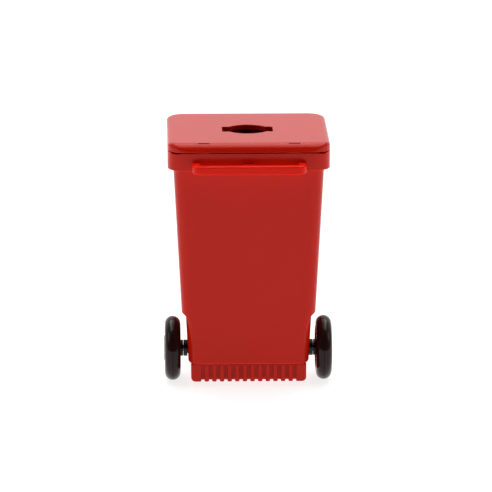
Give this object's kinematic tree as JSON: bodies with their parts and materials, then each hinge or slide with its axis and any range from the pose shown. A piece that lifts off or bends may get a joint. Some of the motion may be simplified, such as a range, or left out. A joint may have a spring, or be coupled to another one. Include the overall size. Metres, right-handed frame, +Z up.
{
  "type": "dog waste bag bin",
  "caption": "Miniature two-wheeled bin with a hinged lid and rear bar handle; it holds a turning roll of waste bags drawn out through a slotted round outlet in the lid.",
  "frame": {"origin": "on the ground, under the middle of the overall box", "axes": "+Z up; -Y towards the handle, hinge and wheel side; +X to the right seen from that side"},
  "size_m": [0.0756, 0.079, 0.1126],
  "materials": {
    "body_plastic": "glossy injection-moulded, red",
    "handle_plastic": "glossy injection-moulded, slightly brighter red",
    "wheel_plastic": "glossy, brown-black",
    "bush_plastic": "satin, blue-black",
    "steel": "drawn bright steel rod",
    "spring_steel": "pressed, lightly oiled",
    "cardboard": "matt grey-brown wound board",
    "bag_film": "thin wound film, satin black"
  },
  "bodies": {
    "bin": {"tub": "body_plastic", "base": "body_plastic", "handle": "handle_plastic", "hinge_rod": "steel", "axle": "steel", "axle_bush_left": "bush_plastic", "axle_bush_right": "bush_plastic", "axle_clip_left": "spring_steel", "axle_clip_right": "spring_steel"},
    "lid": {"lid": "body_plastic"},
    "wheel_left": {"wheel_left": "wheel_plastic", "hub_cap_left": "wheel_plastic"},
    "wheel_right": {"wheel_right": "wheel_plastic", "hub_cap_right": "wheel_plastic"},
    "roll": {"roll_core": "cardboard", "bag_roll": "bag_film"}
  },
  "joints": [
    {"name": "lid_hinge", "type": "hinge", "parent": "bin", "child": "lid", "pos_m": [0, -0.0286, 0.1107], "axis": [1, 0, 0], "range_deg": [0, 180]},
    {"name": "wheel_left_spin", "type": "hinge", "parent": "bin", "child": "wheel_left", "pos_m": [-0.034, -0.00858, 0.0145], "axis": [1, 0, 0], "continuous": true},
    {"name": "wheel_right_spin", "type": "hinge", "parent": "bin", "child": "wheel_right", "pos_m": [0.034, -0.00858, 0.0145], "axis": [1, 0, 0], "continuous": true},
    {"name": "roll_spin", "type": "hinge", "parent": "bin", "child": "roll", "pos_m": [0, 0.0045, 0.05], "axis": [0, 0, 1], "continuous": true}
  ]
}
